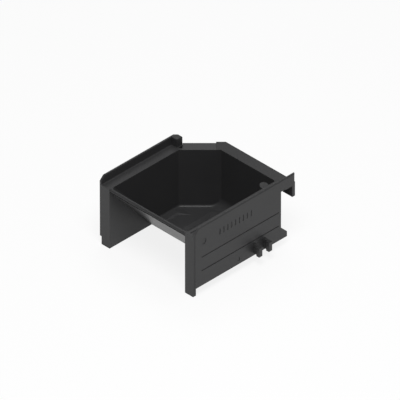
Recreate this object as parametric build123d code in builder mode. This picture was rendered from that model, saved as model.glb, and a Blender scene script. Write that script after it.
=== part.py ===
from build123d import *
import os

# End cap for the end of a wide hollow profile, moulded in one piece.
#
# A deep tray drops into the end of the profile. Its rim carries ledges that sit on the profile's
# walls, two side skins that stand outside the profile, and a flange with a hanging lip at the back.
# Between each side wall of the tray and its skin is a slot that the profile's wall slides up into.
#
# Axes: X runs from the front of the cap to the back, Y across it, Z up.
# Origin: on the flat underside, at the middle of the tray's length and width.

# ---- Tray ----
rim_height = 59.0            # top of the rim above the flat underside
tray_width = 87.1            # clear width between the two side walls
tray_length = 102.0          # clear length at the rim, front rim to back wall
front_rim = 2.3              # thickness of the rim along the front
wall = 2.5                   # side, back and corner walls
floor_thickness = 2.6
corner_cut = 24.5            # leg of the 45 degree corner, back left of the tray
corner_radius = 3.0          # front and left corners of the tray
foot_radius = 2.0            # the foot of its walls, and the two corners of the back wall
back_foot_radius = 8.5       # the large hollow where the back wall meets the floor

# ---- Sloping front wall ----
ramp_run = 48.6              # its length, measured along the underside
ramp_top = 56.5              # where the slope starts on the front face
nose_round = 1.8             # rounded front edge of the rim
groove_width = 0.9           # shadow groove under the rounded edge
groove_depth = 0.7

# ---- Floor of the tray ----
step_width = 6.6             # raised strip along the left wall
step_height = 0.8
step_slope = 2.0             # plan width of its sloping edge
step_reach = 69.5            # along the strip, from the front rim to where it turns off
step_fade = 7.0              # past that it sinks into the floor over this length
trough_width = 38.5          # shallow trough down the middle of the floor
trough_depth = 1.0
trough_slope = 4.5           # plan width of its sloping sides
trough_corner = 4.0
trough_start = 3.0           # from the foot of the sloping wall

# ---- Side skins, slots, ledges and legs ----
slot_width = 6.85            # takes the wall of the profile
skin_thickness = 1.85
skin_rise = 8.0              # skins stand this far above the rim
skin_gap = 7.8               # lower edge of the skins above the underside
skin_corner = 4.4            # 45 degree cut at the front top corner
left_skin_length = 87.4
right_skin_length = 100.3
leg_thickness = 3.3          # front plates that close the slots
ledge_thickness = 3.6
ledge_fall = 2.4             # outward fall of the right ledge
ledge_foot = 0.8             # hollow along the foot of the left skin
edge_round = 0.8             # rounded edges of the left skin and the flange
right_round = 1.2            # the right skin's outer edges
inner_round = 0.5            # its inner top edge
lip_round = 0.3

# ---- Post at the back end of the left skin ----
post_length = 6.5
post_width = 7.9
post_cut = 3.0

# ---- Band over the 45 degree corner ----
band_right = 13.2            # along the corner, from its middle to the flange
band_left = 14.2             # from its middle to the left ledge
band_width = 8.0
band_rise = 1.6
band_round = 0.5

# ---- Back flange, lip and tail ----
flange_reach = 11.4          # back flange, out from the inside of the back wall
corner_reach = 12.1          # the same, out from the inside of the corner wall
lip_thickness = 3.1
lip_drop = 14.7              # the lip's lower edge below the rim
tail_length = 7.0            # lower tail at the back of the right skin
tail_height = 5.0

# ---- Hooks on the right skin ----
hook_width = 3.8
hook_reach = 7.5
hook_height = 8.9
hook_base = 10.3             # underside of the hooks
hook_start = 67.0            # front of the cap to the first hook
hook_pitch = 11.3
hook_count = 2
hook_tip = 3.5               # how far the wide tip runs back towards the skin
hook_notch = 1.4             # the neck is this much narrower, in front
hook_round = 0.4

# ---- Boss on the right wall of the tray ----
boss_radius = 3.9
boss_from_back = 11.4        # centre to the inside of the back wall
boss_inset = 1.5             # centre to the inside of the right wall

# ---- Shallow marks in the right skin ----
mark_depth = 0.4
line_levels = (23.4, 36.8)   # two long grooves
line_start = 7.9
line_length = 89.1
line_width = 1.0
bar_count = 9                # a row of short upright bars
bar_start = 29.0
bar_pitch = 4.5
bar_width = 1.2
bar_height = 6.0
bar_level = 52.0
spots = ((10.7, 51.5, 5.4), (50.9, 13.4, 3.0))   # along, up, width

# ---- Places worked out from the sizes ----
half = tray_width / 2
tray_front = -tray_length / 2
tray_back = tray_length / 2
front = tray_front - front_rim
slot_inner = half + wall
slot_outer = slot_inner + slot_width
skin_face = slot_outer + skin_thickness
skin_top = rim_height + skin_rise
left_end = front + left_skin_length
right_end = front + right_skin_length
flange_back = tray_back + flange_reach
ledge_base = rim_height - ledge_thickness
ledge_slope = ledge_fall / (slot_outer - half)
root_two = 2 ** 0.5
match = 0.01                 # edges this close to a level are taken to be on it


def ramp_x(height):
    """Where the inner face of the sloping wall is, at this height: it starts at the rim's inner
    edge and runs parallel with the outer face."""
    return tray_front + (rim_height - height) * ramp_run / ramp_top


# The 45 degree corner is the line x + y = corner_line; its own plane has x along the corner wall
# and y outward, with its origin at the middle of the corner.
corner_line = tray_back + half - corner_cut
corner_middle = Vector(tray_back - corner_cut / 2, half - corner_cut / 2, 0)
corner_plane = Plane(origin=corner_middle, x_dir=(1, -1, 0), z_dir=(0, 0, 1))
flange_root = corner_plane.from_local_coords(Vector(band_right, 0, 0))
flange_end = corner_plane.from_local_coords(Vector(band_right, corner_reach, 0))
lip_end = corner_plane.from_local_coords(Vector(band_right, corner_reach - lip_thickness, 0))
lip_front = flange_back - lip_thickness
flange_corner = corner_line + corner_reach * root_two - flange_back
lip_corner = corner_line + (corner_reach - lip_thickness) * root_two - lip_front

# ---- Space inside the tray ----
with BuildPart() as hollow:
    with BuildSketch():
        with BuildLine():
            Polyline(
                (tray_front, -half),
                (tray_back, -half),
                (tray_back, half - corner_cut),
                (tray_back - corner_cut, half),
                (tray_front, half),
                close=True,
            )
        make_face()
    extrude(amount=rim_height)
    with BuildSketch(Plane.XZ) as side_view:
        with BuildLine():
            Polyline(
                (ramp_x(rim_height), rim_height),
                (ramp_x(floor_thickness), floor_thickness),
                (tray_back, floor_thickness),
                (tray_back, rim_height),
                close=True,
            )
        make_face()
        fillet(side_view.vertices().group_by(Axis.Y)[0].sort_by(Axis.X)[-1], radius=back_foot_radius)
    extrude(amount=tray_width, both=True, mode=Mode.INTERSECT)
    # The front and left corners first, then the feet, which run on up the back corners.
    inside = hollow.edges().filter_by(lambda edge: edge.center().Z < rim_height)
    inside = inside.filter_by(lambda edge: abs(edge.tangent_at(0.5).Y) < 0.9)
    corners = inside.filter_by(lambda edge: edge.center().Z > floor_thickness + back_foot_radius)
    fillet(corners.filter_by(lambda edge: edge.center().X < tray_back - wall), radius=corner_radius)
    inside = hollow.edges().filter_by(lambda edge: edge.center().Z < floor_thickness + back_foot_radius)
    fillet(inside.filter_by(lambda edge: abs(edge.tangent_at(0.5).Y) < 0.9), radius=foot_radius)

    # The trough ends where the hollow of the back wall begins.
    trough_front = ramp_x(floor_thickness) + trough_start
    trough_back = tray_back - back_foot_radius
    for level, inset in ((floor_thickness, 0.0), (floor_thickness - trough_depth, trough_slope)):
        side = trough_width / 2 - inset
        with BuildSketch(Plane.XY.offset(level)):
            with BuildLine():
                Polyline(
                    (trough_front, -side),
                    (trough_back - inset - trough_corner, -side),
                    (trough_back - inset, trough_corner - side),
                    (trough_back - inset, side - trough_corner),
                    (trough_back - inset - trough_corner, side),
                    (trough_front, side),
                    close=True,
                )
            make_face()
    loft()

# ---- Raised strip on the floor, with a sloping edge ----
step_end = tray_front + step_reach
step_fade_end = step_end + step_fade
step_top = floor_thickness + step_height
with BuildPart() as strip:
    for level, spread in ((floor_thickness, step_slope), (step_top, 0.0)):
        edge_y = half - step_width - spread
        with BuildSketch(Plane.XY.offset(level)):
            with BuildLine():
                Polyline(
                    (tray_front, half),
                    (tray_front, edge_y),
                    (step_end - spread * (root_two - 1), edge_y),
                    (step_fade_end, edge_y - step_fade - spread * (root_two - 1)),
                    (step_fade_end, half),
                    close=True,
                )
            make_face()
    loft()
    with BuildSketch(Plane.XZ):
        with BuildLine():
            Polyline(
                (ramp_x(floor_thickness), floor_thickness),
                (step_fade_end, floor_thickness),
                (step_end, step_top),
                (ramp_x(step_top), step_top),
                close=True,
            )
        make_face()
    extrude(amount=tray_width, both=True, mode=Mode.INTERSECT)

# ---- Left skin with its ledge, level with the rim, and its post ----
with BuildPart() as left_skin:
    with BuildSketch(Plane.XZ.offset(-skin_face)):
        with BuildLine():
            Polyline(
                (front, skin_gap),
                (left_end, skin_gap),
                (left_end, skin_top),
                (front + skin_corner, skin_top),
                (front, skin_top - skin_corner),
                close=True,
            )
        make_face()
    extrude(amount=skin_thickness)
    with BuildSketch(Plane.XY.offset(ledge_base)):
        with Locations((left_end, skin_face)):
            Rectangle(left_skin_length, skin_face - slot_inner, align=Align.MAX)
    extrude(amount=ledge_thickness)
    with BuildSketch(Plane.XY.offset(ledge_base)):
        with Locations((left_end, skin_face)):
            Rectangle(post_length, post_width, align=Align.MAX)
    extrude(amount=skin_top - ledge_base)
    with BuildSketch():
        with BuildLine():
            Polyline(
                (left_end - post_cut, skin_face),
                (left_end, skin_face),
                (left_end, skin_face - post_cut),
                close=True,
            )
        make_face()
    extrude(amount=skin_top, mode=Mode.SUBTRACT)
    fillet(left_skin.edges().group_by(Axis.Z)[-1], radius=edge_round)
    # A small hollow where the skin rises from the ledge.
    foot = left_skin.edges().filter_by(Axis.X)
    foot = foot.filter_by(lambda edge: abs(edge.center().Z - rim_height) < match)
    fillet(foot.sort_by(Axis.Y)[-1], radius=ledge_foot)

# ---- Right skin with its tail and its run-on over the flange ----
with BuildPart() as right_skin:
    with BuildSketch(Plane.XZ.offset(slot_outer)):
        with BuildLine():
            Polyline(
                (front, skin_gap),
                (right_end + tail_length, skin_gap),
                (right_end + tail_length, skin_gap + tail_height),
                (right_end, skin_gap + tail_height + tail_length),
                (right_end, ledge_base),
                (flange_back, ledge_base),
                (flange_back, skin_top),
                (front + skin_corner, skin_top),
                (front, skin_top - skin_corner),
                close=True,
            )
        make_face()
    extrude(amount=skin_thickness)
    fillet(right_skin.faces().sort_by(Axis.Y)[0].edges(), radius=right_round)
    fillet(right_skin.faces().sort_by(Axis.Y)[-1].edges().group_by(Axis.Z)[-1], radius=inner_round)

# ---- What is sunk into the right skin: two long grooves, a row of short bars, and spots ----
with BuildPart() as marks:
    with BuildSketch(Plane.XZ.offset(skin_face - mark_depth)):
        with Locations([(front + line_start + line_length / 2, level) for level in line_levels]):
            SlotOverall(line_length, line_width)
        with Locations([(front + bar_start + index * bar_pitch, bar_level) for index in range(bar_count)]):
            SlotOverall(bar_height, bar_width, rotation=90)
        for along, up, width in spots:
            with Locations((front + along, up)):
                SlotOverall(width + mark_depth, width, rotation=90)
    # From the bottom of the marks to as far again outside the skin.
    extrude(amount=mark_depth * 2)

# ---- Back flange with the lip that hangs from it ----
with BuildPart() as flange:
    with BuildSketch(Plane.XY.offset(ledge_base)):
        with BuildLine():
            Polyline(
                (flange_root.X, flange_root.Y),
                (flange_end.X, flange_end.Y),
                (flange_back, flange_corner),
                (flange_back, -skin_face),
                (tray_back, -skin_face),
                (tray_back, half - corner_cut),
                close=True,
            )
        make_face()
    extrude(amount=ledge_thickness)
    with BuildSketch(Plane.XY.offset(rim_height - lip_drop)):
        with BuildLine():
            Polyline(
                (flange_end.X, flange_end.Y),
                (flange_back, flange_corner),
                (flange_back, -skin_face),
                (lip_front, -skin_face),
                (lip_front, lip_corner),
                (lip_end.X, lip_end.Y),
                close=True,
            )
        make_face()
    extrude(amount=lip_drop)
    outer_top = flange.edges().group_by(Axis.Z)[-1]
    outer_top = outer_top.filter_by(lambda edge: edge.center().X > lip_front)
    fillet(outer_top, radius=edge_round)
    fillet(flange.edges().group_by(Axis.Z)[0], radius=lip_round)

# ---- Band over the corner: it rises outward ----
band_plane = Plane(origin=corner_middle, x_dir=(1, 1, 0), z_dir=(1, -1, 0))
with BuildPart() as band:
    with BuildSketch(band_plane.offset(-band_left)):
        with BuildLine():
            Polyline(
                (0, rim_height),
                (0, ledge_base),
                (band_width, ledge_base),
                (band_width, rim_height + band_rise),
                close=True,
            )
        make_face()
    extrude(amount=band_left + band_right)
    fillet(band.edges().group_by(Axis.Z)[-1], radius=band_round)

# ---- Hook: a narrow neck with a wider tip, square in side view ----
hook_face = skin_face + hook_reach
with BuildPart() as hook:
    with BuildSketch(Plane.XY.offset(hook_base)):
        with BuildLine():
            Polyline(
                (hook_width, -slot_outer),
                (hook_width, -hook_face),
                (0, -hook_face),
                (0, hook_tip - hook_face),
                (hook_notch, hook_tip - hook_face),
                (hook_notch, -slot_outer),
                close=True,
            )
        make_face()
    extrude(amount=hook_height)
    fillet(hook.faces().sort_by(Axis.Y)[0].edges(), radius=hook_round)

# ---- Boss on the right wall: its top slopes as the right ledge does ----
with BuildPart() as boss:
    with BuildSketch(Plane.XY.offset(floor_thickness - trough_depth)):
        with Locations((tray_back - boss_from_back, boss_inset - half)):
            Circle(boss_radius)
    extrude(amount=skin_top)
    with BuildSketch(Plane.YZ.offset(tray_back)):
        with BuildLine():
            Polyline(
                (-half - wall, 0),
                (tray_width - half, 0),
                (tray_width - half, rim_height + tray_width * ledge_slope),
                (-half, rim_height),
                (-half - wall, rim_height - wall * ledge_slope),
                close=True,
            )
        make_face()
    extrude(amount=-tray_length, mode=Mode.INTERSECT)

# ---- Cap: the tray's outside, then everything that hangs from its rim ----
outer_cut = corner_cut + wall * (2 - root_two)
with BuildPart() as end_cap:
    with BuildSketch():
        with BuildLine():
            Polyline(
                (front, -slot_inner),
                (tray_back + wall, -slot_inner),
                (tray_back + wall, slot_inner - outer_cut),
                (tray_back + wall - outer_cut, slot_inner),
                (front, slot_inner),
                close=True,
            )
        make_face()
    extrude(amount=rim_height)

    # Open arch under the sloping front wall.
    with BuildSketch(Plane.XZ):
        with BuildLine():
            Polyline((front, 0), (front + ramp_run, 0), (front, ramp_top), close=True)
        make_face()
    extrude(amount=half, both=True, mode=Mode.SUBTRACT)

    # Legs that close the slots in front.
    with BuildSketch(Plane.XY):
        for side in (-1, 1):
            with Locations((front + leg_thickness / 2, side * (slot_inner + slot_outer) / 2)):
                Rectangle(leg_thickness, slot_width)
    extrude(amount=rim_height)

    # Right ledge: it falls away outward.
    with BuildSketch(Plane.YZ.offset(front)):
        with BuildLine():
            Polyline(
                (-half, rim_height),
                (-half, ledge_base),
                (-slot_outer, ledge_base),
                (-slot_outer, rim_height - ledge_fall),
                close=True,
            )
        make_face()
    extrude(amount=tray_back - front)

    # Rounded front edge of the rim, with a shadow groove under it.
    with BuildSketch(Plane.XZ):
        with Locations((front, rim_height)):
            Rectangle(nose_round, nose_round, align=(Align.MIN, Align.MAX))
        with Locations((front + nose_round, rim_height - nose_round)):
            Circle(nose_round, mode=Mode.SUBTRACT)
        with Locations((front, rim_height - nose_round)):
            Rectangle(groove_depth, groove_width, align=(Align.MIN, Align.MAX))
    extrude(amount=half, both=True, mode=Mode.SUBTRACT)

    add(band.part)
    add(flange.part)
    add(left_skin.part)
    add(right_skin.part)
    add(hollow.part, mode=Mode.SUBTRACT)
    add(strip.part)
    with Locations([(front + hook_start + index * hook_pitch, 0) for index in range(hook_count)]):
        add(hook.part)
    add(boss.part)
    add(marks.part, mode=Mode.SUBTRACT)

end_cap.part.label = "end_cap"
os.makedirs("parts", exist_ok=True)
export_step(end_cap.part, "parts/end_cap.step")
print("end_cap", end_cap.part.volume, end_cap.part.is_valid, end_cap.part.bounding_box())
print("solids", len(end_cap.part.solids()))
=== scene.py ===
import math

import bpy
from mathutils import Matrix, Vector


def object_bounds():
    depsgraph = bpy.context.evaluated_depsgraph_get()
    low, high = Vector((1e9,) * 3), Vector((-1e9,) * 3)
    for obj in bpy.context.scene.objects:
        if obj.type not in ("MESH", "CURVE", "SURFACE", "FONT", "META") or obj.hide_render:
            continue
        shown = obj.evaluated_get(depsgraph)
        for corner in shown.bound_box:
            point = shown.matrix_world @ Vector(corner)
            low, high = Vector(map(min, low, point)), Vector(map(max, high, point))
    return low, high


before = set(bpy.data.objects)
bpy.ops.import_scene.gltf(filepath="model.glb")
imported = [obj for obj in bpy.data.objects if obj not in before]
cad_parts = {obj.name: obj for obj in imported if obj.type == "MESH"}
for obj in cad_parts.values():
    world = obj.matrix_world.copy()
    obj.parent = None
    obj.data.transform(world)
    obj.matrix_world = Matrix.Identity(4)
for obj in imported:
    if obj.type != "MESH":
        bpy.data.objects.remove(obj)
cad_low, cad_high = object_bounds()

# ---- End cap ----
# One moulding in black polypropylene, with no paint and no second part. Its skin has a fine satin
# grain, and the way the melt ran shows as faint, broad changes of gloss and shade.
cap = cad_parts["end_cap"]
deep_black = (0.030, 0.030, 0.031, 1.0)
pale_black = (0.041, 0.041, 0.042, 1.0)
grain_per_metre = 2600.0
flow_per_metre = 28.0
least_roughness = 0.35
flow_roughness = 0.09
grain_roughness = 0.05
grain_height = 0.00003
grain_strength = 0.12
noise_detail = 2.0
gloss_level = 0.3


class Socket:
    """A shader value that can be written in a sum: each operator adds its Math node."""

    def __init__(self, tree, output):
        self.tree = tree
        self.output = output

    def node(self, kind, settings, inputs, result=0):
        made = self.tree.nodes.new(kind)
        for name, value in settings.items():
            setattr(made, name, value)
        for key, value in inputs.items():
            if isinstance(value, Socket):
                self.tree.links.new(value.output, made.inputs[key])
            else:
                made.inputs[key].default_value = value
        return Socket(self.tree, made.outputs[result])

    def maths(self, operation, other):
        return self.node("ShaderNodeMath", {"operation": operation}, {0: self, 1: other})

    def __add__(self, other):
        return self.maths("ADD", other)

    __radd__ = __add__

    def __mul__(self, other):
        return self.maths("MULTIPLY", other)

    __rmul__ = __mul__

    def feeds(self, socket):
        self.tree.links.new(self.output, socket)


moulded = bpy.data.materials.new("black_moulded_plastic")
moulded.use_nodes = True
tree = moulded.node_tree
plastic = tree.nodes["Principled BSDF"]
place = Socket(tree, tree.nodes.new("ShaderNodeNewGeometry").outputs["Position"])
grain_noise = {"Vector": place, "Scale": grain_per_metre, "Detail": noise_detail}
grain = place.node("ShaderNodeTexNoise", {}, grain_noise)
flow_noise = {"Vector": place, "Scale": flow_per_metre, "Detail": noise_detail}
flow = place.node("ShaderNodeTexNoise", {}, flow_noise)
shades = {0: flow, 6: deep_black, 7: pale_black}
black = flow.node("ShaderNodeMix", {"data_type": "RGBA"}, shades, result=2)
black.feeds(plastic.inputs["Base Color"])
roughness = least_roughness + flow_roughness * flow + grain_roughness * grain
roughness.feeds(plastic.inputs["Roughness"])
relief = {"Strength": grain_strength, "Distance": grain_height, "Height": grain}
bump = grain.node("ShaderNodeBump", {}, relief)
bump.feeds(plastic.inputs["Normal"])
plastic.inputs["Specular IOR Level"].default_value = gloss_level
for slot in cap.material_slots:
    slot.material = moulded

# ---- Camera ----
# A long lens from the front right, 45 degrees round and 35.26 degrees up: the view in which
# edges along the three axes all run at 30 degrees to the picture's sides.
metres_per_frame = 0.3266
lens = 1500.0
sensor = 36.0
aim = Vector((0.0136, 0.00605, 0.034))
towards_camera = Vector((-1.0, -1.0, 1.0)).normalized()
camera_data = bpy.data.cameras.new("camera")
camera_data.lens = lens
camera_data.sensor_width = sensor
camera_data.clip_start = 0.1
camera_data.clip_end = 60.0
camera = bpy.data.objects.new("camera", camera_data)
bpy.context.scene.collection.objects.link(camera)
camera.location = aim + towards_camera * (metres_per_frame * lens / sensor)
camera.rotation_euler = towards_camera.to_track_quat("Z", "Y").to_euler()
bpy.context.scene.camera = camera

# ---- Floor ----
# White paper, wide enough to fill the view from any side. Whatever looks straight at it or sees
# it in a gloss gets mostly plain white, and the rest is lit, so it keeps the cap's soft shadow.
floor_reach = 8.0
paper_white = (0.95, 0.95, 0.95, 1.0)
plain_white_share = 0.85
floor_mesh = bpy.data.meshes.new("floor")
corners = [(x * floor_reach, y * floor_reach, 0.0) for x, y in ((-1, -1), (1, -1), (1, 1), (-1, 1))]
floor_mesh.from_pydata(corners, [], [(0, 1, 2, 3)])
floor = bpy.data.objects.new("floor", floor_mesh)
bpy.context.scene.collection.objects.link(floor)
paper = bpy.data.materials.new("white_paper")
paper.use_nodes = True
paper_tree = paper.node_tree
lit_paper = paper_tree.nodes["Principled BSDF"]
lit_paper.inputs["Base Color"].default_value = paper_white
lit_paper.inputs["Roughness"].default_value = 1.0
lit_paper.inputs["Specular IOR Level"].default_value = 0.0
ray = paper_tree.nodes.new("ShaderNodeLightPath")
seen = Socket(paper_tree, ray.outputs["Is Camera Ray"])
seen = seen.maths("MAXIMUM", Socket(paper_tree, ray.outputs["Is Glossy Ray"]))
seen = seen.maths("MAXIMUM", Socket(paper_tree, ray.outputs["Is Transmission Ray"]))
plain_white = seen.node("ShaderNodeEmission", {}, {"Color": (1.0, 1.0, 1.0, 1.0), "Strength": 1.0})
lit = Socket(paper_tree, lit_paper.outputs["BSDF"])
surface = seen.node("ShaderNodeMixShader", {}, {0: seen * plain_white_share, 1: lit, 2: plain_white})
surface.feeds(paper_tree.nodes["Material Output"].inputs["Surface"])
floor_mesh.materials.append(paper)

# ---- Light ----
# A dim even room and three round softboxes overhead. The bright one stands over the front right
# corner and shapes the cap; the other two are weak, and show mostly in faces that lean their way.
room_brightness = 0.2
softbox_distance = 1.2
softboxes = (
    ("front_softbox", (-0.3, -0.3, 0.9), 14.0, 10.8),
    ("back_softbox", (0.38, 0.38, 0.84), 16.0, 2.1),
    ("side_softbox", (0.3, -0.3, 0.9), 14.0, 1.4),
)
world = bpy.data.worlds.new("studio")
world.use_nodes = True
bpy.context.scene.world = world
room = world.node_tree.nodes["Background"]
room.inputs["Color"].default_value = (1.0, 1.0, 1.0, 1.0)
room.inputs["Strength"].default_value = room_brightness
middle = Vector(cad_low).lerp(Vector(cad_high), 0.5)
for name, direction, half_angle, brightness in softboxes:
    radius = softbox_distance * math.tan(math.radians(half_angle))
    light = bpy.data.lights.new(name, "AREA")
    light.shape = "DISK"
    light.size = 2 * radius
    area = math.pi * radius ** 2
    light.energy = brightness * math.pi * area
    softbox = bpy.data.objects.new(name, light)
    bpy.context.scene.collection.objects.link(softbox)
    towards_softbox = Vector(direction).normalized()
    softbox.location = middle + towards_softbox * softbox_distance
    softbox.rotation_euler = towards_softbox.to_track_quat("Z", "Y").to_euler()

bpy.context.scene.view_settings.view_transform = "Standard"
